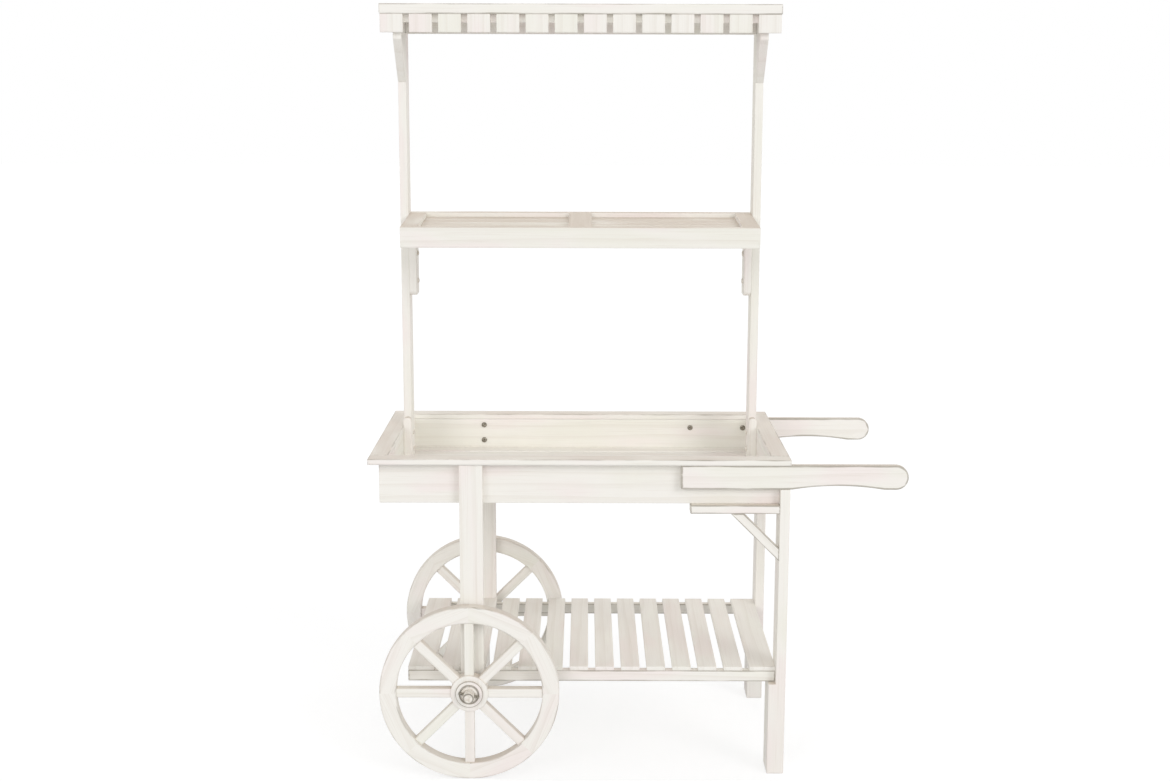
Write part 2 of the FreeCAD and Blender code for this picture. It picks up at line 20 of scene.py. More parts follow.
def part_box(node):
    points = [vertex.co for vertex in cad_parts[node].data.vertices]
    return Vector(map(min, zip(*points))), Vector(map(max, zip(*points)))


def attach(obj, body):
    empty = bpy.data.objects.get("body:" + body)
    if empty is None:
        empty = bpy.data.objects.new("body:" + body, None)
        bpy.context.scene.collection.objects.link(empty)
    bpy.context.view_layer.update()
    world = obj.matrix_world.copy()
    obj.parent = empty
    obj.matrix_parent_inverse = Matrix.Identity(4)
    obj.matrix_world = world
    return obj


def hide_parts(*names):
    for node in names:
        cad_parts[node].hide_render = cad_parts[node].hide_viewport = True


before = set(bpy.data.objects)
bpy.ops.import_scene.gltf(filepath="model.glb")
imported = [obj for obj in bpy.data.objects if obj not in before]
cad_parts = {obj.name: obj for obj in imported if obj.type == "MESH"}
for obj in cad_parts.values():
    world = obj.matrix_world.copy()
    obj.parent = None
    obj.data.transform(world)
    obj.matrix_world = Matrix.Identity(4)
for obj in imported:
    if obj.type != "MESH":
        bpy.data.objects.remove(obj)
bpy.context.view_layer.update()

LOG = logging.getLogger("flower_cart_stand")
MM = 0.001

# An edge that turns more than this is a sawn edge, and a lesser one is part of a round.
SHARP = math.radians(30)
# Two unit vectors whose product is over this point the same way.
PARALLEL = 0.9999
# Nearer than this is touching.
TOUCHING = 0.1 * MM

Solid = bmesh.types.BMesh
Face = bmesh.types.BMFace
Socket = bpy.types.NodeSocket
Material = bpy.types.Material
# Where in a value something begins, and where it is full.
Reach = tuple[float, float]


# ---- named choices


class Body(Enum):
    """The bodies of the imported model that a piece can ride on."""

    CART = "cart"
    FRONT_WHEEL = "front_wheel"
    BACK_WHEEL = "back_wheel"


class Slot(Enum):
    """The record's material slots."""

    WOOD = "whitewashed_wood"
    STEEL = "dark_steel"


class Axis(Enum):
    """The axes of the frame."""

    X = 0
    Y = 1
    Z = 2


class Named(Enum):
    """A choice whose word is part of the names of CAD nodes."""

    @property
    def label(self) -> str:
        """The word."""
        return self.name.lower()


class Side(Named):
    """The two long sides of the cart, with the sign of their Y."""

    FRONT = -1
    BACK = 1


class End(Named):
    """The two ends of the cart, with the sign of their X."""

    LEFT = -1
    RIGHT = 1


# ---- finishes


def linear(colour: str) -> tuple[float, float, float, float]:
    """Turns an sRGB hex colour into the linear colour that shaders take.

    Args:
        colour: Six hex digits.

    Returns:
        Linear red, green and blue, and an alpha of 1.
    """
    channels = [int(colour[i : i + 2], 16) / 255 for i in (0, 2, 4)]
    return tuple(
        c / 12.92 if c <= 0.04045 else ((c + 0.055) / 1.055) ** 2.4 for c in channels
    ) + (1.0,)


def per_metre(length_mm: float) -> float:
    """How many features of a size in millimetres fit in a metre."""
    return 1.0 / (length_mm * MM)


@dataclass(frozen=True)
class Skin:
    """How a surface shines, and how high its bumps are."""

    roughness: Reach
    bump: float
    bump_mm: float
    metallic: float = 0.0
    specular: float = 0.5
    noise_reach: Reach = (0.3, 0.7)


@dataclass(frozen=True)
class Wiring:
    """A node tree that is being wired."""

    nodes: bpy.types.NodeTree

    @classmethod
    def of(cls, owner: Material | bpy.types.World) -> "Wiring":
        """Empties the node tree of a material or a world, to wire it.

        Args:
            owner: The material or world.

        Returns:
            Its empty tree.
        """
        owner.use_nodes = True
        owner.node_tree.nodes.clear()
        return cls(owner.node_tree)

    def add_node(
        self, kind: str, inputs: dict[str | int, object], **settings: object
    ) -> bpy.types.Node:
        """Adds a shader node with its settings, and links or sets its inputs.

        Args:
            kind: The node's type, without the words ShaderNode.
            inputs: A value or an output socket for each named or numbered input.
            settings: Properties of the node.

        Returns:
            The new node.
        """
        node = self.nodes.nodes.new(f"ShaderNode{kind}")
        for name, value in settings.items():
            setattr(node, name, value)
        for name, value in inputs.items():
            if isinstance(value, Socket):
                self.nodes.links.new(value, node.inputs[name])
            else:
                node.inputs[name].default_value = value
        return node

    def attribute(self, name: str, output: str = "Fac") -> Socket:
        """An attribute of the mesh."""
        return self.add_node("Attribute", {}, attribute_name=name).outputs[output]

    def drawn_out(self, place: Socket, length_mm: float, width_mm: float) -> Socket:
        """A place scaled so that a feature of this length and width is 1 each way."""
        scale = (per_metre(length_mm), per_metre(width_mm), per_metre(width_mm))
        return self.add_node("Mapping", {"Vector": place, "Scale": scale}).outputs["Vector"]

    def combined(self, operation: str, first: Socket, second: Socket | float) -> Socket:
        """Two values combined, such as by ADD or MAXIMUM."""
        return self.add_node("Math", {0: first, 1: second}, operation=operation).outputs[0]

    def times(self, first: Socket, second: Socket | float) -> Socket:
        """A value times another or times a number."""
        return self.combined("MULTIPLY", first, second)

    def plus(self, first: Socket, second: Socket) -> Socket:
        """Two values added."""
        return self.combined("ADD", first, second)

    def ramp(
        self, value: Socket, reach: Reach, to: Reach = (0.0, 1.0), curve: str = "LINEAR"
    ) -> Socket:
        """Runs from one number to another while a value runs through its reach."""
        return self.add_node("MapRange", {
            "Value": value, "From Min": reach[0], "From Max": reach[1],
            "To Min": to[0], "To Max": to[1]}, interpolation_type=curve).outputs["Result"]

    def window(self, value: Socket, reach: Reach) -> Socket:
        """Rises smoothly from 0 to 1 while a value runs through its reach."""
        return self.ramp(value, reach, curve="SMOOTHSTEP")

    def mix(self, share: Socket, under: str | Socket, over: str) -> Socket:
        """Lays a colour, as hex, over another colour by a share."""
        below = linear(under) if isinstance(under, str) else under
        return self.add_node(
            "Mix", {0: share, 6: below, 7: linear(over)}, data_type="RGBA").outputs[2]

    def surface(self, skin: Skin, colour: Socket, noise: Socket, height: Socket) -> None:
        """Ends a material.

        Args:
            skin: How it shines and how high its bumps are.
            colour: Its colour.
            noise: The value that its roughness follows.
            height: The height of its bumps.
        """
        bump = self.add_node("Bump", {
            "Height": height, "Strength": skin.bump, "Distance": skin.bump_mm * MM})
        shader = self.add_node("BsdfPrincipled", {
            "Base Color": colour, "Metallic": skin.metallic,
            "Roughness": self.ramp(noise, skin.noise_reach, skin.roughness),
            "Specular IOR Level": skin.specular, "Normal": bump.outputs["Normal"]})
        self.add_node("OutputMaterial", {"Surface": shader.outputs["BSDF"]})


def new_material(name: str) -> tuple[Material, Wiring]:
    """Makes an empty material, and returns it with its node tree."""
    material = bpy.data.materials.new(name)
    return material, Wiring.of(material)


@dataclass(frozen=True)
class Streaks:
    """Noise drawn out along the fibres, from 0 to 1."""

    length_mm: float
    width_mm: float
    detail: float

    def value(self, tree: Wiring, grain: Socket) -> Socket:
        """The noise at a place in the timber."""
        return tree.add_node("TexNoise", {
            "Vector": tree.drawn_out(grain, self.length_mm, self.width_mm), "Scale": 1.0,
            "Detail": self.detail, "Roughness": 0.55, "Distortion": 0.15}).outputs["Fac"]


@dataclass(frozen=True)
class Layer:
    """A colour over the paint: where in its noise it shows, and how strongly."""

    colour: str
    reach: Reach
    strength: float = 1.0


@dataclass(frozen=True)
class WhitewashedPine:
    """Pine boards under thin brushed whitewash, rubbed back to dark wood along their edges,
    with painted shade on the dark edge round the wheel's boss.

    The paint is matt and a little uneven: warm white, with faint pink and green stretches
    where the timber's own colour comes through, and tan on faces that look up: partly paint
    that weather and hands have thinned, and partly painted shade that makes tops darker than
    fronts.
    """

    name: str = "whitewashed_pine"
    skin: Skin = Skin(roughness=(0.54, 0.72), bump=0.35, bump_mm=0.35, specular=0.35)
    paint: str = "F4F1EB"

    # Fibres are drawn twice as wide as pine's own, so that they show.
    fibres: Streaks = Streaks(length_mm=160.0, width_mm=2.6, detail=4.0)
    patches: Streaks = Streaks(length_mm=320.0, width_mm=110.0, detail=2.0)
    breaks: Streaks = Streaks(length_mm=85.0, width_mm=9.0, detail=3.0)

    blush: Layer = Layer("F4ECE8", (0.5, 0.68))
    cream: Layer = Layer("F1EFE6", (0.42, 0.2))
    late_wood: Layer = Layer("D3C9BB", (0.55, 1.0), 0.16)
    brushed: Layer = Layer("D2C6B8", (0.5, 0.78), 0.24)
    # Tan on faces that look up: partly weathered paint, partly painted shade that darkens tops
    # below the fronts.
    weathered: Layer = Layer("D2C6B8", (0.1, 0.62), 0.8)
    # Dark edges: rubbed paint, and round the wheel's boss also painted shade of the gap.
    rubbed: Layer = Layer("887F6E", (0.95, 1.35), 0.62)
    # A dent's noise is its cell's own number, so that few cells have one.
    dented: Layer = Layer("7C6E5C", (0.86, 0.9), 0.75)

    cream_by_tone: float = -0.2
    rubbed_by_breaks: float = 0.9
    ring_width_mm: float = 17.0
    ring_length_mm: float = 238.0
    ring_height: float = 0.5
    dent_height: float = -3.0
    dent_spacing_mm: float = 95.0
    dent_radius_mm: float = 2.2
    dent_floor: float = 0.4  # of its radius

    def material(self) -> Material:
        """Builds the node material, from the attributes that ease and Joinery write.

        Returns:
            The material.
        """
        material, tree = new_material(self.name)
        grain = tree.attribute("grain", "Vector")
        wear, upward, tone = (tree.attribute(name) for name in ("wear", "upward", "tone"))
        fibre, patch = self.fibres.value(tree, grain), self.patches.value(tree, grain)
        rings, dents = self._rings(tree, grain), self._dents(tree, grain)
        toned = tree.plus(patch, tree.times(tone, self.cream_by_tone))
        breaks = self.breaks.value(tree, grain)
        worn = tree.plus(wear, tree.times(breaks, self.rubbed_by_breaks))
        layers = (
            (self.blush, tree.window(patch, self.blush.reach)),
            (self.cream, tree.window(toned, self.cream.reach)),
            (self.late_wood, rings),
            (self.brushed, tree.window(fibre, self.brushed.reach)),
            # Tops: weathering and painted shade.
            (self.weathered, tree.times(upward, tree.window(patch, self.weathered.reach))),
            (self.rubbed, tree.window(worn, self.rubbed.reach)),
            (self.dented, dents))
        paint = self.paint
        for layer, shown in layers:
            paint = tree.mix(tree.times(shown, layer.strength), paint, layer.colour)
        height = tree.plus(fibre, tree.times(rings, self.ring_height))
        height = tree.plus(height, tree.times(dents, self.dent_height))
        tree.surface(self.skin, paint, fibre, height)
        return material

    def _rings(self, tree: Wiring, grain: Socket) -> Socket:
        """The dark late wood of the growth rings, in long arches along the board.

        Args:
            tree: The tree to wire.
            grain: The place in the timber.

        Returns:
            1 in late wood, and 0 elsewhere.
        """
        wave = tree.add_node("TexWave", {
            "Vector": tree.drawn_out(grain, self.ring_length_mm, self.ring_width_mm),
            "Scale": 0.16, "Distortion": 5.0, "Detail": 2.0, "Detail Scale": 1.4,
            "Detail Roughness": 0.5},
            wave_type="BANDS", bands_direction="Y", wave_profile="SAW")
        return tree.window(wave.outputs["Fac"], self.late_wood.reach)

    def _dents(self, tree: Wiring, grain: Socket) -> Socket:
        """Small dark knocks and nail marks, far apart.

        Args:
            tree: The tree to wire.
            grain: The place in the timber.

        Returns:
            1 in a dent, and 0 elsewhere.
        """
        spacing = self.dent_spacing_mm
        cells = tree.add_node("TexVoronoi", {
            "Vector": tree.drawn_out(grain, spacing, spacing), "Scale": 1.0,
            "Randomness": 1.0})
        radius = self.dent_radius_mm / spacing
        near = tree.window(cells.outputs["Distance"], (radius, self.dent_floor * radius))
        numbers = tree.add_node("SeparateColor", {"Color": cells.outputs["Color"]})
        return tree.times(near, tree.window(numbers.outputs["Red"], self.dented.reach))


@dataclass(frozen=True)
class Steel:
    """Steel hardware with a dull, slightly uneven skin, dark along its edges: rubbed, and round
    the axle's end also painted shade.
    """

    name: str
    colour: str
    tarnish: str
    skin: Skin
    spot_mm: float = 3.0
    tarnished_reach: Reach = (0.42, 0.62)
    # Dark edges: rubbed steel, and painted shade of the gaps round the axle's end and collars.
    rubbed: str = "5E574B"

    def material(self) -> Material:
        """Builds the node material, from Object coordinates.

        Returns:
            The material.
        """
        material, tree = new_material(self.name)
        place = tree.add_node("TexCoord", {}).outputs["Object"]
        spots = tree.add_node("TexNoise", {
            "Vector": place, "Scale": per_metre(self.spot_mm), "Detail": 3.0,
            "Roughness": 0.6}).outputs["Fac"]
        metal = tree.mix(
            tree.ramp(spots, self.tarnished_reach), self.colour, self.tarnish)
        # Darkens edges: rubbing, and painted shade round the axle's end.
        colour = tree.mix(tree.attribute("wear"), metal, self.rubbed)
        tree.surface(self.skin, colour, spots, spots)
        return material


# Bare steel gone dull and spotted: grey heads with a soft shine and brown-black specks.
DULLED_STEEL = Steel(
    "dulled_steel", "ABA599", "5F594E", Skin((0.26, 0.48), 0.25, 0.2, metallic=1.0))
# Steel brushed over with the same whitewash as the boards, which has rubbed thin; its dark
# edges are also painted shade.
PAINTED_STEEL = Steel(
    "whitewashed_steel", "EFEAE2", "D8CFC2", Skin((0.45, 0.67), 0.25, 0.2), spot_mm=6.0)


# ---- sawing and joining


@dataclass(frozen=True)
class Edges:
    """How a board's edges are eased, and how their paint is rubbed off.

    rub is 0 for sound paint and 1 for a bare edge, and wear is how far in from the edge the
    rubbing reaches, unless the face is narrow. On the wheel's boss and the axle the dark edge
    is also painted shade of the gap round them. joined is the way that a face glued to its
    neighbour looks, if there is one: its edges stay sharp and sound, so that the joint closes.
    """

    ease: float = 1.0 * MM
    wear: float = 4.0 * MM
    segments: int = 2
    rub: float = 0.4
    joined: tuple[float, float, float] = (0, 0, 0)
    narrow: float = 0.3  # the most of a face's width that wears


SAWN = Edges()
RUBBED = Edges(ease=1.3 * MM, wear=6.0 * MM, rub=0.85)
UNITS = Matrix.Identity(3)
Outline = Sequence[tuple[float, float]]
# Which way fibres run: along an axis, as a matrix says, or differently for each face.
Directions = Axis | Matrix | Callable[[Face], Matrix]


def board(low: Vector, high: Vector) -> Solid:
    """A straight board between two corners.

    Args:
        low: Its lowest corner.
        high: Its highest corner.

    Returns:
        The closed solid.
    """
    solid = bmesh.new()
    bmesh.ops.create_cube(solid, size=1.0)
    bmesh.ops.scale(solid, vec=high - low, verts=solid.verts)
    bmesh.ops.translate(solid, vec=(high + low) / 2, verts=solid.verts)
    return solid


def even_width(room: float, count: int, gap: float) -> float:
    """The width of each of a number of boards that fill a room but for their gaps."""
    return (room + gap) / count - gap


def boards_between(
    low: Vector, high: Vector, across: Axis, widths: Sequence[float]
) -> list[Solid]:
    """A row of straight boards with even gaps.

    Args:
        low: The row's lowest corner.
        high: Its highest corner.
        across: The way from one board to the next.
        widths: Each board's width.

    Returns:
        The boards, in order.
    """
    i = across.value
    gap = ((high - low)[i] - sum(widths)) / max(len(widths) - 1, 1)
    start = low[i]
    boards = []
    for width in widths:
        first, last = low.copy(), high.copy()
        first[i], last[i] = start, start + width
        boards.append(board(first, last))
        start += width + gap
    return boards


def pull(solid: Solid, face: Face, way: Vector) -> None:
    """Extrudes a face, and moves what has grown.

    Args:
        solid: The solid that the face is of.
        face: The face, which itself stays behind.
        way: How far the new face goes.
    """
    grown = bmesh.ops.extrude_face_region(solid, geom=[face])["geom"]
    moved = [part for part in grown if isinstance(part, bmesh.types.BMVert)]
    bmesh.ops.translate(solid, vec=way, verts=moved)


def sawn(outline: Outline, across: Axis, start: float, end: float) -> Solid:
    """A board cut to an outline.

    Args:
        outline: The other two coordinates of its corners, in order.
        across: The axis that its thickness is along.
        start: Where it starts on that axis.
        end: Where it ends.

    Returns:
        The closed solid.
    """
    i = across.value
    solid = bmesh.new()
    face = solid.faces.new([
        solid.verts.new((*pair[:i], start, *pair[i:])) for pair in outline])
    pull(solid, face, (end - start) * UNITS[i])
    bmesh.ops.recalc_face_normals(solid, faces=solid.faces)
    return solid


def turned(profile: Sequence[Vector], centre: Vector, axis: Axis, steps: int) -> Solid:
    """A profile turned about an axis. A profile that ends where it began makes a ring.

    Args:
        profile: The profile's corners, in order.
        centre: A point on the axis.
        axis: The way of the axis.
        steps: Steps round it.

    Returns:
        The turned solid.
    """
    solid = bmesh.new()
    ring = profile[0] == profile[-1]
    corners = [solid.verts.new(corner) for corner in (profile[:-1] if ring else profile)]
    ends = corners[1:] + corners[:ring]
    edges = [solid.edges.new(pair) for pair in zip(corners, ends)]
    bmesh.ops.spin(
        solid, geom=corners + edges, cent=centre, axis=UNITS[axis.value], dvec=(0, 0, 0),
        angle=math.tau, steps=steps, use_merge=True)
    bmesh.ops.recalc_face_normals(solid, faces=solid.faces)
    return solid


def rod(radius: float, start: Vector, end: Vector, steps: int) -> Solid:
    """A round bar between two points.

    Args:
        radius: Its radius.
        start: The middle of one end.
        end: The middle of the other end.
        steps: Its sides.

    Returns:
        The closed solid.
    """
    solid = bmesh.new()
    way = end - start
    bmesh.ops.create_cone(
        solid, cap_ends=True, segments=steps, radius1=radius, radius2=radius,
        depth=way.length)
    turn = way.to_track_quat("Z", "Y").to_matrix().to_4x4()
    bmesh.ops.transform(
        solid, matrix=Matrix.Translation((start + end) / 2) @ turn, verts=solid.verts)
    return solid


def arc(
    centre: tuple[float, float], radius: float, start: float, end: float, steps: int
) -> list[tuple[float, float]]:
    """Points along an arc, with both ends, from one angle in degrees to another.

    Args:
        centre: Its centre.
        radius: Its radius.
        start: Its first angle.
        end: Its last angle.
        steps: Steps along it.

    Returns:
        The points, in order.
    """
    angles = [math.radians(start + (end - start) * i / steps) for i in range(steps + 1)]
    x, y = centre
    return [(x + radius * math.cos(a), y + radius * math.sin(a)) for a in angles]


def ease(solid: Solid, edges: Edges) -> None:
    """Rounds the sawn edges and marks where their paint wears.

    The rounds are worn, which runs down to 0 a little way into each face.

    Args:
        solid: A closed solid with sharp edges.
        edges: How to ease and rub them.
    """
    wear = solid.verts.layers.float.new("wear")
    solid.normal_update()
    look = Vector(edges.joined)
    flats = [face.normal.copy() for face in solid.faces if face.normal.dot(look) < PARALLEL]
    closed = {edge for face in solid.faces if face.normal.dot(look) > PARALLEL
              for edge in face.edges}
    sharp = [edge for edge in solid.edges
             if edge not in closed and edge.calc_face_angle(0.0) > SHARP]
    bmesh.ops.bevel(
        solid, geom=sharp, offset=edges.ease, offset_type="OFFSET", segments=edges.segments,
        profile=0.5, affect="EDGES", material=-1, clamp_overlap=True)
    solid.normal_update()
    for vertex in solid.verts:
        sound = any(face.normal.dot(look) > PARALLEL for face in vertex.link_faces)
        vertex[wear] = 0.0 if sound else edges.rub
    left = {face for face in solid.faces
            if any(face.normal.dot(flat) > PARALLEL for flat in flats)}
    while left:
        region = smooth_region(left)
        width = 2 * sum(f.calc_area() for f in region) / outer_length(region)
        bmesh.ops.inset_region(
            solid, faces=region, thickness=min(edges.wear, edges.narrow * width),
            use_boundary=True, use_even_offset=True)
        for face in region:
            for vertex in face.verts:
                vertex[wear] = 0.0


def smooth_region(left: set[Face]) -> list[Face]:
    """Takes one face and all that it runs smoothly into out of a set.

    Args:
        left: The faces that are in no region yet.

    Returns:
        The faces that were taken.
    """
    region = [left.pop()]
    for face in region:
        for edge in face.edges:
            for other in edge.link_faces:
                if other in left and face.normal.angle(other.normal, 0.0) < SHARP:
                    left.remove(other)
                    region.append(other)
    return region


def outer_length(region: Sequence[Face]) -> float:
    """The length of the line round a region of faces."""
    inside = set(region)
    return sum(edge.calc_length() for face in region for edge in face.edges
               if not all(other in inside for other in edge.link_faces))


def fibres(along: Vector, across: Vector) -> Matrix:
    """The turn from the frame to a board's own directions: along, across and through.

    Args:
        along: The way of the fibres.
        across: The way across them on the face that shows the figure.

    Returns:
        The turn.
    """
    a = along.normalized()
    c = a.cross(across).normalized()
    return Matrix((a, c.cross(a), c))


def fibres_of(solid: Solid, along: Axis) -> Matrix:
    """The directions of a straight board whose widest face shows the figure.

    Args:
        solid: The board.
        along: The axis of its fibres.

    Returns:
        The turn from the frame to its directions.
    """
    spans = [max(v.co[i] for v in solid.verts) - min(v.co[i] for v in solid.verts)
             for i in range(3)]
    across = max((i for i in range(3) if i != along.value), key=lambda i: spans[i])
    return fibres(UNITS[along.value], UNITS[across])


def new_object(name: str, data: bpy.types.ID) -> bpy.types.Object:
    """Makes an object and links it to the scene.

    Args:
        name: Its name.
        data: Its mesh, camera or lamp.

    Returns:
        The object.
    """
    made = bpy.data.objects.new(name, data)
    bpy.context.scene.collection.objects.link(made)
    return made


class Joinery:
    """One piece of the cart: its boards in one mesh, each from its own length of timber.

    Beside wear, which ease writes, it writes three attributes: grain, the place in the timber
    in metres, along, across and through; upward, how much a face looks up, which tans tops as
    weathering and as painted shade; and tone, a number from 0 to 1 for each board.
    """

    TIMBER_SPREAD = 8.0  # metres of timber that the boards are cut from

    def __init__(self, name: str, weathered: float = 1.0) -> None:
        """Starts an empty piece.

        Args:
            name: The piece's name, which also seeds its timber.
            weathered: How much faces that look up are tanned, as paint thinned by weather and
                as painted shade.
        """
        self.name = name
        self.weathered = weathered
        self.random = random.Random(name)
        self.whole = bmesh.new()

    def add(
        self, solid: Solid, directions: Directions, edges: Edges | None = SAWN,
        place: Matrix | None = None,
    ) -> None:
        """Eases a solid, gives it its timber and joins it to the piece.

        Args:
            solid: A closed solid, which is used up.
            directions: Which way the fibres run, for the whole solid or for each face.
            edges: How its edges are eased, or None where they already are.
            place: Where the solid goes, if it was made level.
        """
        if isinstance(directions, Axis):
            directions = fibres_of(solid, directions)
        if edges is not None:
            ease(solid, edges)
        self._cut_from_timber(solid, directions)
        if place is not None:
            bmesh.ops.transform(solid, matrix=place, verts=solid.verts)
        self._mark_upward(solid)
        mesh = bpy.data.meshes.new("joining")
        solid.to_mesh(mesh)
        solid.free()
        self.whole.from_mesh(mesh)
        bpy.data.meshes.remove(mesh)

    def _cut_from_timber(self, solid: Solid, directions: Directions) -> None:
        """Writes each corner's place in the timber, and the board's tone.

        Args:
            solid: The solid, before it goes to its place.
            directions: Which way its fibres run.
        """
        grain = solid.loops.layers.float_vector.new("grain")
        tone = solid.loops.layers.float.new("tone")
        spread = self.TIMBER_SPREAD
        cuts: dict[tuple[float, ...], Vector] = {}
        shade = self.random.random()
        for face in solid.faces:
            turn = directions(face) if callable(directions) else directions
            key = tuple(round(x, 4) for x in turn[0])
            if key not in cuts:
                cuts[key] = Vector([self.random.uniform(0, spread) for _ in range(3)])
            for loop in face.loops:
                loop[grain] = turn @ loop.vert.co + cuts[key]
                loop[tone] = shade

    def _mark_upward(self, solid: Solid) -> None:
        """Writes how much each face looks up, times the piece's share of weathering and painted
        shade on its tops.

        Args:
            solid: The solid, in its place.
        """
        upward = solid.loops.layers.float.new("upward")
        solid.normal_update()
        for face in solid.faces:
            for loop in face.loops:
                loop[upward] = self.weathered * max(0.0, face.normal.z)

    def finish(self, body: Body, material: Material, node: str) -> None:
        """Makes the piece an object that rides on its body and stands for its CAD node.

        Args:
            body: The body that it rides on.
            material: Its finish.
            node: The CAD node that it replaces.
        """
        mesh = bpy.data.meshes.new(self.name)
        self.whole.to_mesh(mesh)
        self.whole.free()
        mesh.shade_smooth()
        mesh.materials.append(material)
        piece = new_object(self.name, mesh)
        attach(piece, body.value)
        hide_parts(node)
        LOG.info("%-32s %6d faces", self.name, len(mesh.polygons))


def radius_of(node: str) -> float:
    """The radius of a CAD node that is round about the axle's line."""
    low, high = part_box(node)
    return (high.x - low.x) / 2


def faces_of(side: Side, node: str) -> tuple[float, float]:
    """The Y of a node's inner face and of its outer face."""
    low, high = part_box(node)
    return (high.y, low.y) if side is Side.FRONT else (low.y, high.y)


@dataclass
class SubAssembly:
    """A part of the cart that is put together on its own bench."""

    paint: Material
    weathered: float = 1.0

    def put(
        self, node: str, solids: Iterable[Solid], directions: Directions,
        edges: Edges | None = SAWN, place: Matrix | None = None, body: Body = Body.CART,
    ) -> None:
        """Joins solids to the whitewashed piece that stands for a CAD node.

        Args:
            node: The CAD node.
            solids: The boards, which are used up.
            directions: Which way their fibres run.
            edges: How their edges are eased, or None where they already are.
            place: Where they go, if they were made level.
            body: The body that they ride on.
        """
        piece = Joinery(f"whitewashed_{node}", self.weathered)
        for solid in solids:
            piece.add(solid, directions, edges, place)
        piece.finish(body, self.paint, node)

    def straight(self, node: str, along: Axis, edges: Edges = SAWN) -> None:
        """Saws a straight board in the place of a CAD node."""
        self.put(node, [board(*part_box(node))], along, edges)

    def row(self, node: str, along: Axis, across: Axis, widths: Sequence[float]) -> None:
        """Saws a row of boards with even gaps in the place of a CAD node."""
        self.put(node, boards_between(*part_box(node), across, widths), along)


# ---- tray


@dataclass
class Tray(SubAssembly):
    """The slatted tray: four walls, a flat rim and a floor of slats on bearers."""

    floor_slats: int = 9
    floor_gap: float = 10 * MM
    floor_bearers: int = 3
    floor_bearer_width: float = 40 * MM
    # Share of weathering and painted shade on the floor slats' tops.
    floor_weathered: float = 0.3
    wall_edges: Edges = Edges(joined=(0, 0, 1))
    rim_edges: Edges = Edges(
        ease=2.0 * MM, wear=6.0 * MM, segments=3, rub=0.65, joined=(0, 0, -1))

    def build(self) -> None:
        """Builds the tray's pieces."""
        for side in Side:
            self.straight(f"{side.label}_tray_wall", Axis.X, self.wall_edges)
            self.straight(f"{side.label}_rim_board", Axis.X, self.rim_edges)
        for end in End:
            self.straight(f"{end.label}_tray_end", Axis.Y, self.wall_edges)
            self.straight(f"{end.label}_rim_board", Axis.Y, self.rim_edges)
        low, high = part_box("tray_floor_slats")
        width = even_width(high.y - low.y, self.floor_slats, self.floor_gap)
        floor = SubAssembly(self.paint, self.floor_weathered)
        floor.row("tray_floor_slats", Axis.X, Axis.Y, [width] * self.floor_slats)
        self.row("tray_floor_bearers", Axis.Y, Axis.X,
                 [self.floor_bearer_width] * self.floor_bearers)


# ---- handles, uprights and legs


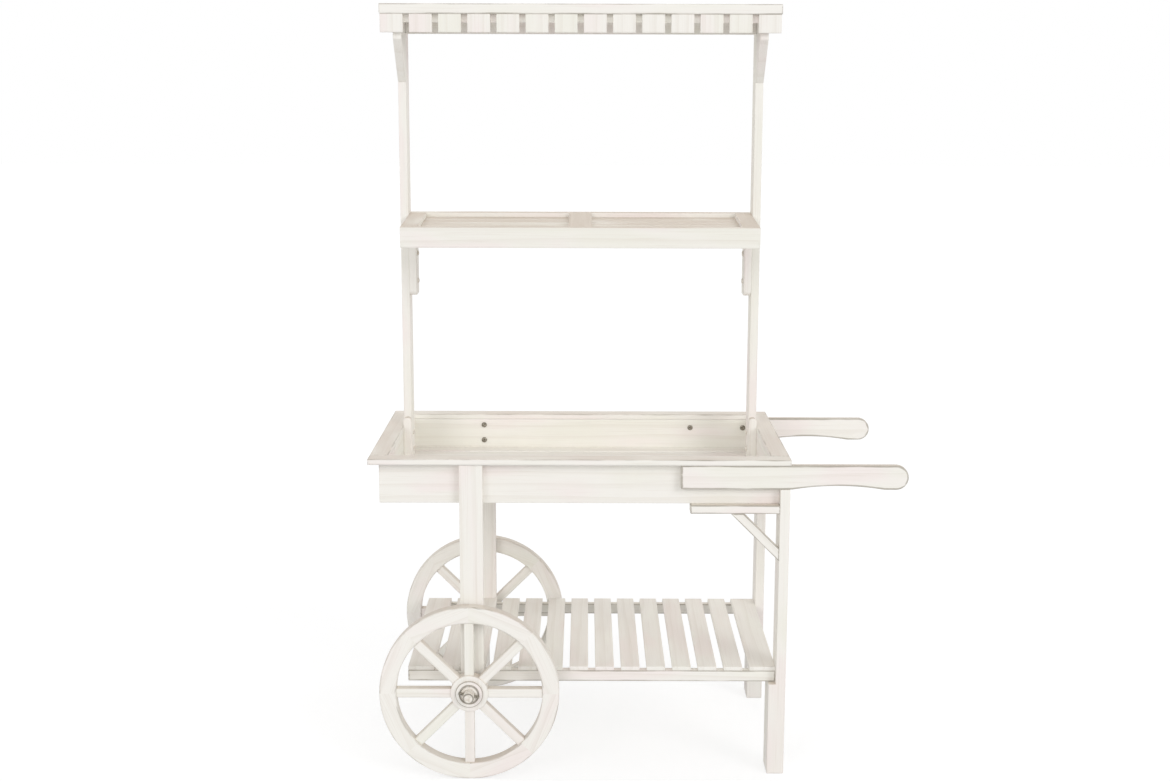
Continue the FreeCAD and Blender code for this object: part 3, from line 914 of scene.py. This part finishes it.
@dataclass
class Underframe(SubAssembly):
    """What holds the tray up and steers it: handles, uprights, legs, bearers and braces."""

    grip_start: float = 28 * MM
    grip_length: float = 216 * MM
    grip_rise: float = 9 * MM
    board: float = 20 * MM
    brace_cut: float = 30 * MM
    arc_steps: int = 16
    grip_edges: Edges = Edges(ease=3.0 * MM, wear=5.0 * MM, segments=4, rub=0.85)

    def build(self) -> None:
        """Builds the pieces of both sides."""
        for side in Side:
            self.handle(side)
            self.upright(side)
            self.leg(side)
            self.straight(f"{side.label}_bearer", Axis.X, RUBBED)
            self.brace(side)

    def _cut(
        self, node: str, side: Side, outline: Outline, directions: Directions,
        edges: Edges = SAWN,
    ) -> None:
        """Saws an outline in X and Z through the thickness of a CAD node."""
        inner, outer = faces_of(side, node)
        self.put(node, [sawn(outline, Axis.Y, inner, outer)], directions, edges)

    def handle(self, side: Side) -> None:
        """A push handle with a round nose and a long hollow under the grip.

        Args:
            side: The side that it is on.
        """
        node = f"{side.label}_handle"
        low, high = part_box(node)
        nose = (high.z - low.z) / 2
        tray_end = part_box("right_tray_end")[1].x
        half = self.grip_length / 2
        radius = (half**2 + self.grip_rise**2) / (2 * self.grip_rise)
        middle = tray_end + self.grip_start + half
        spread = math.degrees(math.asin(half / radius))
        outline = [(low.x, low.z)]
        outline += arc((middle, low.z + self.grip_rise - radius), radius,
                       90 + spread, 90 - spread, self.arc_steps)
        outline += arc((high.x - nose, low.z + nose), nose, -90, 90, self.arc_steps)
        outline.append((low.x, high.z))
        self._cut(node, side, outline, Axis.X, self.grip_edges)

    def upright(self, side: Side) -> None:
        """The board that carries the axle, round at its foot.

        Args:
            side: The side that it is on.
        """
        node = f"{side.label}_upright"
        low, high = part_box(node)
        foot = (high.x - low.x) / 2
        outline = arc((low.x + foot, low.z + foot), foot, 180, 360, self.arc_steps)
        outline += [(high.x, high.z), (low.x, high.z)]
        self._cut(node, side, outline, Axis.Z)

    def leg(self, side: Side) -> None:
        """A leg with a step that carries the deck rail, notched behind the handle.

        Args:
            side: The side that it is on.
        """
        node = f"{side.label}_leg"
        low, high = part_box(node)
        inner, outer = faces_of(side, node)
        way = math.copysign(1, outer - inner)
        tray_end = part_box("right_tray_end")[1].x
        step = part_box(f"{side.label}_deck_rail")[0].z
        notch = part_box(f"{side.label}_handle")[0].z
        outline = [(low.x, low.z), (high.x, low.z), (high.x, high.z), (tray_end, high.z),
                   (tray_end, step), (low.x, step)]
        core = outer - way * self.board
        solid = sawn(outline, Axis.Y, inner, core)
        cheek = max(solid.faces, key=lambda face: way * face.calc_center_median().y)
        bmesh.ops.bisect_plane(
            solid, geom=[cheek, *cheek.edges, *cheek.verts], plane_co=(0, 0, notch),
            plane_no=(0, 0, 1))
        cheeks = [face for face in solid.faces
                  if abs(face.calc_center_median().y - core) < TOUCHING]
        lower = min(cheeks, key=lambda face: face.calc_center_median().z)
        pull(solid, lower, Vector((0, way * self.board, 0)))
        bmesh.ops.delete(solid, geom=[lower], context="FACES_ONLY")
        bmesh.ops.recalc_face_normals(solid, faces=solid.faces)
        self.put(node, [solid], Axis.Z)

    def brace(self, side: Side) -> None:
        """The slanting brace between bearer and leg.

        Args:
            side: The side that it is on.
        """
        node = f"{side.label}_brace"
        low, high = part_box(node)
        outline = [(low.x, high.z), (high.x, low.z), (high.x, low.z + self.brace_cut),
                   (low.x + self.brace_cut, high.z)]
        self._cut(node, side, outline, fibres(Vector((1, 0, -1)), Vector((1, 0, 1))), RUBBED)


# ---- lower deck


@dataclass
class LowerDeck(SubAssembly):
    """Two rails and a deck of slats across them."""

    slats: int = 14
    slat_width: float = 45 * MM
    end_slat_width: float = 62.5 * MM

    def build(self) -> None:
        """Builds the rails and the slats."""
        for side in Side:
            self.straight(f"{side.label}_deck_rail", Axis.X, RUBBED)
        widths = [self.slat_width] * self.slats
        widths[0] = widths[-1] = self.end_slat_width
        self.row("deck_slats", Axis.Y, Axis.X, widths)


# ---- axle and wheels


@dataclass(kw_only=True)
class RunningGear(SubAssembly):
    """The axle with its pins, spacers and collars, and two wheels that turn on it."""

    painted_steel: Material
    dark_steel: Material
    spokes: int = 8
    spoke_width: float = 23 * MM
    spoke_seat: float = 0.5 * MM
    felloe_width: float = 40 * MM
    hub_bore: float = 12.56 * MM
    boss_bore: float = 23 * MM
    pin_radius: float = 3 * MM
    pin_length: float = 50 * MM
    pin_turn: float = math.radians(11)
    pin_steps: int = 24
    turned_steps: int = 96
    rim_edges: Edges = Edges(ease=2.4 * MM, wear=5.0 * MM, segments=3, rub=0.6)
    spoke_edges: Edges = Edges(ease=2.4 * MM, wear=3.0 * MM, segments=3)
    hub_edges: Edges = Edges(ease=1.3 * MM, wear=3.0 * MM)
    # The boss's dark edge is rubbed paint and painted shade of the gap round it.
    boss_edges: Edges = Edges(ease=1.2 * MM, wear=3.5 * MM, rub=1.0)
    small_edges: Edges = Edges(ease=0.5 * MM, wear=1.2 * MM)
    # The axle's dark end edge is rubbed paint and painted shade of the gap round it.
    axle_edges: Edges = Edges(ease=1.3 * MM, wear=2.5 * MM, segments=3, rub=0.75)

    def build(self) -> None:
        """Builds the axle and both wheels."""
        self.axle()
        self.pins()
        for side in Side:
            self.sleeve(f"{side.label}_axle_spacer")
            self.sleeve(f"{side.label}_axle_collar")
            wheel = Body(f"{side.label}_wheel")
            self.rim(wheel)
            self.spoke_set(wheel)
            self.disc(wheel, "hub", self.hub_bore, self.hub_edges)
            self.disc(wheel, "boss", self.boss_bore, self.boss_edges)

    def _centre(self) -> Vector:
        """A point on the axle's line."""
        low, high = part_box("axle")
        return Vector(((low.x + high.x) / 2, 0, (low.z + high.z) / 2))

    def _ring(self, node: str, bore: float, edges: Edges) -> Solid:
        """A plain ring about the axle in the place of a CAD node, its edges eased.

        Args:
            node: The CAD node.
            bore: The ring's inner radius.
            edges: How its edges are eased.

        Returns:
            The closed ring.
        """
        low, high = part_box(node)
        centre, radius = self._centre(), radius_of(node)
        section = [(bore, low.y), (radius, low.y), (radius, high.y), (bore, high.y),
                   (bore, low.y)]
        profile = [Vector((centre.x + x, y, centre.z)) for x, y in section]
        solid = turned(profile, centre, Axis.Y, self.turned_steps)
        ease(solid, edges)
        return solid

    def axle(self) -> None:
        """The round axle, painted over with the rest."""
        low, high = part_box("axle")
        centre = self._centre()
        solid = rod(radius_of("axle"), Vector((centre.x, low.y, centre.z)),
                    Vector((centre.x, high.y, centre.z)), self.turned_steps // 2)
        piece = Joinery("whitewashed_axle")
        piece.add(solid, Axis.Y, self.axle_edges)
        piece.finish(Body.CART, self.painted_steel, "axle")

    def pins(self) -> None:
        """The two dark pins through the axle's ends."""
        low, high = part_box("axle_pins")
        centre = self._centre()
        half = Vector((math.cos(self.pin_turn), 0, -math.sin(self.pin_turn)))
        half *= self.pin_length / 2
        piece = Joinery("dark_axle_pins")
        for y in (low.y + self.pin_radius, high.y - self.pin_radius):
            middle = Vector((centre.x, y, centre.z))
            solid = rod(self.pin_radius, middle - half, middle + half, self.pin_steps)
            piece.add(solid, Axis.X, self.small_edges)
        piece.finish(Body.CART, self.dark_steel, "axle_pins")

    def sleeve(self, node: str) -> None:
        """A spacer or collar on the axle.

        Args:
            node: The CAD node.
        """
        piece = Joinery(f"painted_{node}")
        piece.add(self._ring(node, radius_of("axle"), self.small_edges), Axis.Y, None)
        piece.finish(Body.CART, self.painted_steel, node)

    def rim(self, wheel: Body) -> None:
        """The rim, whose fibres run straight in each of its segments.

        Args:
            wheel: The wheel's body.
        """
        node = f"{wheel.value}_rim"
        centre = self._centre()
        step = math.tau / self.spokes

        def segment(face: Face) -> Matrix:
            """The directions of the fibres in the segment that a face is of.

            Args:
                face: A face of the rim.

            Returns:
                The turn from the frame to them.
            """
            away = face.calc_center_median() - centre
            angle = (math.floor(math.atan2(away.z, away.x) / step) + 0.5) * step
            outward = Vector((math.cos(angle), 0, math.sin(angle)))
            return fibres(Vector((0, 1, 0)).cross(outward), outward)

        ring = self._ring(node, radius_of(node) - self.felloe_width, self.rim_edges)
        self.put(node, [ring], segment, None, body=wheel)

    def spoke_set(self, wheel: Body) -> None:
        """Eight straight spokes, whose square ends run a little into hub and rim.

        Args:
            wheel: The wheel's body.
        """
        node = f"{wheel.value}_spokes"
        low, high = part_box(node)
        half = self.spoke_width / 2
        root = math.sqrt(radius_of(f"{wheel.value}_hub") ** 2 - half**2) - self.spoke_seat
        reach = radius_of(f"{wheel.value}_rim") - self.felloe_width + self.spoke_seat
        piece = Joinery(f"whitewashed_{node}")
        for i in range(self.spokes):
            solid = board(Vector((-half, low.y, root)), Vector((half, high.y, reach)))
            turn = Matrix.Rotation(math.tau * i / self.spokes, 4, "Y")
            piece.add(solid, Axis.Z, self.spoke_edges,
                      Matrix.Translation(self._centre()) @ turn)
        piece.finish(wheel, self.paint, node)

    def disc(self, wheel: Body, word: str, bore: float, edges: Edges) -> None:
        """A disc in the middle of a wheel, its fibres upright.

        Args:
            wheel: The wheel's body.
            word: The disc's own word in the name of its CAD node.
            bore: Its inner radius.
            edges: How its edges are eased.
        """
        node = f"{wheel.value}_{word}"
        upright = fibres(UNITS[Axis.Z.value], UNITS[Axis.X.value])
        self.put(node, [self._ring(node, bore, edges)], upright, None, body=wheel)


# ---- posts and shelf


@dataclass
class Display(SubAssembly):
    """The two posts with their cleats, and the tilted shelf between them."""

    post_cleat_round: float = 8 * MM
    shelf_cleat_round: float = 13 * MM
    tilt: float = math.radians(4.1)
    shelf_depth: float = 260 * MM
    shelf_height: float = 50 * MM
    board: float = 20 * MM
    slats: int = 5
    slat_gap: float = 6 * MM
    slat_thick: float = 10 * MM
    batten_thick: float = 11 * MM
    battens: tuple[float, ...] = (42 * MM, 56 * MM, 42 * MM)
    bearers: int = 3
    arc_steps: int = 8

    def build(self) -> None:
        """Builds both ends' posts and cleats, then the shelf."""
        for end in End:
            self.straight(f"{end.label}_post", Axis.Z)
            self.post_cleat(end)
            self.shelf_cleat(end)
        self.shelf()

    def _cleat(self, node: str, solid: Solid) -> None:
        """Puts a cleat in the place of a CAD node. Its tops get less weathering and less
        painted shade than the shelf's.
        """
        SubAssembly(self.paint).put(node, [solid], Axis.Z)

    def post_cleat(self, end: End) -> None:
        """The short block in front of a post's foot, round at its top.

        Args:
            end: The end that it is at.
        """
        node = f"{end.label}_post_cleat"
        low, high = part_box(node)
        r = self.post_cleat_round
        outline = [(low.x, low.z), (high.x, low.z)]
        outline += arc((high.x - r, high.z - r), r, 0, 90, self.arc_steps)
        outline += arc((low.x + r, high.z - r), r, 90, 180, self.arc_steps)
        self._cleat(node, sawn(outline, Axis.Y, low.y, high.y))

    def shelf_cleat(self, end: End) -> None:
        """The cleat under one end of the shelf, cut to the shelf's slope.

        Args:
            end: The end that it is at.
        """
        node = f"{end.label}_shelf_cleat"
        low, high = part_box(node)
        r = self.shelf_cleat_round
        front = high.z - (high.y - low.y) * math.tan(self.tilt)
        outline = arc((low.y + r, low.z + r), r, 180, 270, self.arc_steps)
        outline += [(high.y, low.z), (high.y, high.z), (low.y, front)]
        self._cleat(node, sawn(outline, Axis.X, low.x, high.x))

    def shelf(self) -> None:
        """The shelf, made level and then tilted about its lower front edge."""
        low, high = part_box("shelf_front_board")
        length = high.x - low.x
        origin = Vector((low.x, low.y + self.shelf_height * math.sin(self.tilt), low.z))
        place = Matrix.Translation(origin) @ Matrix.Rotation(self.tilt, 4, "X")
        top, front, back = self.shelf_height, self.board, self.shelf_depth - self.board
        batten_base = top - self.batten_thick
        slat_base = batten_base - self.slat_thick
        slat = even_width(back - front, self.slats, self.slat_gap)
        parts = (
            ("front_board", Axis.X, (0, 0, 0), (length, front, top), [self.board]),
            ("back_board", Axis.X, (0, back, 0), (length, self.shelf_depth, top), [self.board]),
            ("slats", Axis.X, (0, front, slat_base), (length, back, batten_base),
             [slat] * self.slats),
            ("battens", Axis.Y, (0, front, batten_base), (length, back, top), self.battens),
            ("bearers", Axis.Y, (0, front, 0), (length, back, slat_base),
             [self.board] * self.bearers))
        for word, along, first, last, widths in parts:
            across = Axis.Y if along is Axis.X else Axis.X
            boards = boards_between(Vector(first), Vector(last), across, widths)
            self.put(f"shelf_{word}", boards, along, place=place)


# ---- roof


@dataclass
class Roof(SubAssembly):
    """The roof board with its row of pickets, and the brackets and rail under it."""

    pickets: int = 14
    picket_gap: float = 15 * MM
    bracket_nose: float = 15 * MM
    board_edges: Edges = Edges(ease=2.0 * MM, segments=3, rub=0.7)

    def build(self) -> None:
        """Builds the roof's pieces."""
        self.straight("roof_board", Axis.X, self.board_edges)
        self.straight("roof_nailing_strip", Axis.X)
        self.straight("roof_rail", Axis.X)
        low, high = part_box("roof_pickets")
        width = even_width(high.x - low.x, self.pickets, self.picket_gap)
        self.row("roof_pickets", Axis.Z, Axis.X, [width] * self.pickets)
        for end in End:
            self.bracket(end)

    def bracket(self, end: End) -> None:
        """A bracket between a post and the strip behind the pickets.

        Args:
            end: The end that it is at.
        """
        node = f"{end.label}_roof_bracket"
        low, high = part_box(node)
        strip_low, strip_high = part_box("roof_nailing_strip")
        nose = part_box("roof_pickets")[0].z - self.bracket_nose
        outline = [(high.y, low.z), (high.y, high.z), (strip_high.y, high.z),
                   (strip_high.y, strip_low.z), (low.y, strip_low.z), (low.y, nose)]
        self.put(node, [sawn(outline, Axis.X, low.x, high.x)], Axis.Z)


# ---- screws


@dataclass
class Screws:
    """Cross-headed wood screws, in pairs at each joint.

    Those in the tray's long walls are bare. Those along the cart were driven before the
    whitewash and have it on their heads. mouth, the flat that the cross is cut in, and dome are
    shares of the head's radius and height, and tip is a share of the shank's radius.
    """

    bare: Material
    painted: Material
    head_radius: float = 7 * MM
    head_height: float = 4 * MM
    shank_radius: float = 3 * MM
    point: float = 5 * MM
    cross_reach: float = 3.4 * MM
    cross_width: float = 1.5 * MM
    cross_depth: float = 1.8 * MM
    cross_taper: float = 0.7
    mouth: float = 0.62
    dome: Outline = ((0.84, 0.82), (0.97, 0.45))
    tip: float = 0.1
    first_turn: float = 0.7
    steps: int = 24

    def build(self) -> None:
        """Builds the five groups of screws, each where its heads' seats are."""
        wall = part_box("back_tray_wall")[0].y
        for node in ("upright_screws", "handle_screws"):
            self._drive(node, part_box(node)[1].y - wall, self.bare, [
                (Vector((x, side.value * wall, z)), Vector((0, -side.value, 0)))
                for x in self._rows(node, Axis.X) for z in self._rows(node, Axis.Z)
                for side in Side])
        for node, left, right in (
            ("leg_screws", None, "right_tray_end"), ("post_screws", "left_post", "right_post"),
            ("shelf_cleat_screws", "left_shelf_cleat", "right_shelf_cleat"),
        ):
            seats = [(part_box(right)[0].x, -1)]
            if left is not None:
                seats.append((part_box(left)[1].x, 1))
            self._drive(node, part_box(node)[1].x - seats[0][0], self.painted, [
                (Vector((x, y, z)), Vector((way, 0, 0))) for x, way in seats
                for y in self._rows(node, Axis.Y) for z in self._rows(node, Axis.Z)])

    def _rows(self, node: str, axis: Axis) -> list[float]:
        """Where the middles of a group's heads lie along an axis: in one row or in two.

        Args:
            node: The CAD node of the screws.
            axis: The axis.

        Returns:
            One coordinate or two.
        """
        low, high = (corner[axis.value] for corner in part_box(node))
        if high - low < 3 * self.head_radius:
            return [(low + high) / 2]
        return [low + self.head_radius, high - self.head_radius]

    def _drive(
        self, node: str, reach: float, material: Material,
        places: Iterable[tuple[Vector, Vector]],
    ) -> None:
        """Puts a screw at each place.

        Args:
            node: The CAD node of the screws.
            reach: How far the shanks go below the heads.
            material: Their finish.
            places: Where each head's underside is, and the way that it looks.
        """
        piece = Joinery(f"dark_{node}")
        for number, (seat, way) in enumerate(places):
            solid = self._screw(reach)
            spin = Matrix.Rotation(self.first_turn + number, 4, "Z")
            turn = way.to_track_quat("Z", "Y").to_matrix().to_4x4()
            piece.add(solid, Axis.Z, None, Matrix.Translation(seat) @ turn @ spin)
        piece.finish(Body.CART, material, node)

    def _screw(self, reach: float) -> Solid:
        """One screw along Z, its head's underside at the origin.

        Args:
            reach: How far the shank goes below the head.

        Returns:
            The closed screw, with a cross recess in its head.
        """
        section = [(self.mouth * self.head_radius, self.head_height)]
        section += [(x * self.head_radius, z * self.head_height) for x, z in self.dome]
        section += [(self.head_radius, 0.0), (self.shank_radius, 0.0),
                    (self.shank_radius, self.point - reach),
                    (self.tip * self.shank_radius, -reach)]
        profile = [Vector((x, 0, z)) for x, z in section]
        solid = turned(profile, Vector((0, 0, 0)), Axis.Z, self.steps)
        openings = [edge for edge in solid.edges if edge.is_boundary]
        top = [edge for edge in openings if edge.verts[0].co.z > 0]
        tip = [edge for edge in openings if edge.verts[0].co.z < 0]
        bmesh.ops.edgeloop_fill(solid, edges=tip)
        cross = self._cross(solid)
        bmesh.ops.bridge_loops(solid, edges=top + cross)
        grown = bmesh.ops.extrude_edge_only(solid, edges=cross)["geom"]
        deep = [part for part in grown if isinstance(part, bmesh.types.BMVert)]
        bmesh.ops.translate(solid, vec=(0, 0, -self.cross_depth), verts=deep)
        bmesh.ops.scale(solid, vec=(self.cross_taper, self.cross_taper, 1), verts=deep)
        floor = [part for part in grown if isinstance(part, bmesh.types.BMEdge)
                 and all(vertex in deep for vertex in part.verts)]
        bmesh.ops.edgeloop_fill(solid, edges=floor)
        bmesh.ops.recalc_face_normals(solid, faces=solid.faces)
        return solid

    def _cross(self, solid: Solid) -> list[bmesh.types.BMEdge]:
        """The outline of the cross recess, with as many corners as the head has steps.

        Args:
            solid: The screw, which gets the outline.

        Returns:
            The outline's edges.
        """
        long, short = self.cross_reach, self.cross_width / 2
        quarter = [(long, short), (short, short), (short, long)]
        corners = []
        for i in range(4):
            turn = Matrix.Rotation(math.tau * i / 4, 2)
            corners += [turn @ Vector(corner) for corner in quarter]
        verts = [solid.verts.new((x, y, self.head_height)) for x, y in corners]
        edges = [solid.edges.new(pair) for pair in zip(verts, verts[1:] + verts[:1])]
        cut = bmesh.ops.subdivide_edges(solid, edges=edges, cuts=self.steps // len(edges) - 1)
        added = [part for part in cut["geom_split"] if isinstance(part, bmesh.types.BMEdge)]
        return list({*edges, *added})


# ---- studio


@dataclass(frozen=True)
class Camera:
    """The camera at the photograph's place. Angles are in degrees."""

    image_width: float = 1170.0
    focal_pixels: float = 1636.8
    sensor_mm: float = 36.0
    place: tuple[float, float, float] = (-0.12575, -4.028, 1.645)
    pitch_down: float = 10.58
    roll: float = 0.15
    clip: tuple[float, float] = (0.1, 200.0)

    def build(self) -> None:
        """Makes the camera and sets it as the scene's."""
        data = bpy.data.cameras.new("photo_camera")
        data.sensor_width = self.sensor_mm
        data.lens = self.focal_pixels / self.image_width * self.sensor_mm
        data.clip_start, data.clip_end = self.clip
        camera = new_object("photo_camera", data)
        camera.matrix_world = (
            Matrix.Translation(self.place)
            @ Matrix.Rotation(math.radians(90 - self.pitch_down), 4, "X")
            @ Matrix.Rotation(math.radians(self.roll), 4, "Z"))
        bpy.context.scene.camera = camera


@dataclass(frozen=True)
class Lamp:
    """A far soft lamp. Azimuth is from the front towards the right, in degrees."""

    name: str
    azimuth: float
    elevation: float
    strength: float
    softness: float

    def build(self) -> None:
        """Makes the lamp."""
        data = bpy.data.lights.new(self.name, "SUN")
        data.energy = self.strength
        data.angle = math.radians(self.softness)
        lamp = new_object(self.name, data)
        a, e = math.radians(self.azimuth), math.radians(self.elevation)
        towards = Vector((math.sin(a) * math.cos(e), -math.cos(a) * math.cos(e), math.sin(e)))
        lamp.rotation_euler = towards.to_track_quat("Z", "Y").to_euler()


@dataclass(frozen=True)
class Studio:
    """A pale floor, a white background and soft light, mostly from the front."""

    white: str = "FFFFFF"
    fill: float = 0.69
    floor_colour: str = "E4E4E4"
    floor_seen: str = "A9A9A9"
    floor_glow: float = 0.67
    floor_size: float = 60.0
    floor_drop: float = 0.5 * MM
    lamps: tuple[Lamp, ...] = (
        Lamp("right_softbox", 42.0, 24.0, 0.78, 28.0),
        Lamp("left_softbox", -33.0, 22.0, 0.53, 28.0),
        Lamp("back_softbox", 180.0, 32.0, 0.45, 40.0),
    )

    def build(self) -> None:
        """Builds the floor, the world and the lamps."""
        self._floor()
        self._world()
        for lamp in self.lamps:
            lamp.build()

    def _seen(self, tree: Wiring) -> Socket:
        """1 for rays that show the background: straight, mirrored or through glass.

        Args:
            tree: The tree to wire.

        Returns:
            The value.
        """
        path = tree.add_node("LightPath", {}).outputs
        seen = tree.combined("MAXIMUM", path["Is Camera Ray"], path["Is Glossy Ray"])
        return tree.combined("MAXIMUM", seen, path["Is Transmission Ray"])

    def _floor(self) -> None:
        """A plain floor that looks white but for the shadow on it."""
        solid = bmesh.new()
        bmesh.ops.create_grid(
            solid, x_segments=1, y_segments=1, size=self.floor_size / 2,
            matrix=Matrix.Translation((0, 0, -self.floor_drop)))
        mesh = bpy.data.meshes.new("studio_floor")
        solid.to_mesh(mesh)
        solid.free()
        material, tree = new_material("studio_floor")
        seen = self._seen(tree)
        colour = tree.mix(seen, self.floor_colour, self.floor_seen)
        matt = tree.add_node("BsdfDiffuse", {"Color": colour})
        glow = tree.add_node("Emission", {
            "Color": linear(self.white), "Strength": tree.times(seen, self.floor_glow)})
        both = tree.add_node("AddShader", {0: matt.outputs[0], 1: glow.outputs[0]})
        tree.add_node("OutputMaterial", {"Surface": both.outputs[0]})
        mesh.materials.append(material)
        floor = new_object("studio_floor", mesh)

    def _world(self) -> None:
        """A world that looks white and lights the cart gently."""
        world = bpy.data.worlds.new("studio")
        tree = Wiring.of(world)
        strength = tree.ramp(self._seen(tree), (0.0, 1.0), (self.fill, 1.0))
        light = tree.add_node("Background", {
            "Color": linear(self.white), "Strength": strength})
        tree.add_node("OutputWorld", {"Surface": light.outputs[0]})
        bpy.context.scene.world = world


# ---- putting it together


def main() -> None:
    """Builds the studio and every sub-assembly."""
    logging.basicConfig(level=logging.INFO, format="%(message)s")
    bpy.context.scene.view_settings.view_transform = "Standard"
    Camera().build()
    Studio().build()
    paint = WhitewashedPine().material()
    painted_steel = PAINTED_STEEL.material()
    dark_steel = DULLED_STEEL.material()
    # Each piece's share of tan on its tops: weathering and painted shade.
    Tray(paint, weathered=0.9).build()
    Underframe(paint).build()
    LowerDeck(paint, weathered=0.4).build()
    RunningGear(paint=paint, painted_steel=painted_steel, dark_steel=dark_steel).build()
    Display(paint, weathered=1.5).build()
    Roof(paint).build()
    Screws(dark_steel, painted_steel).build()


if __name__ == "__main__":
    main()
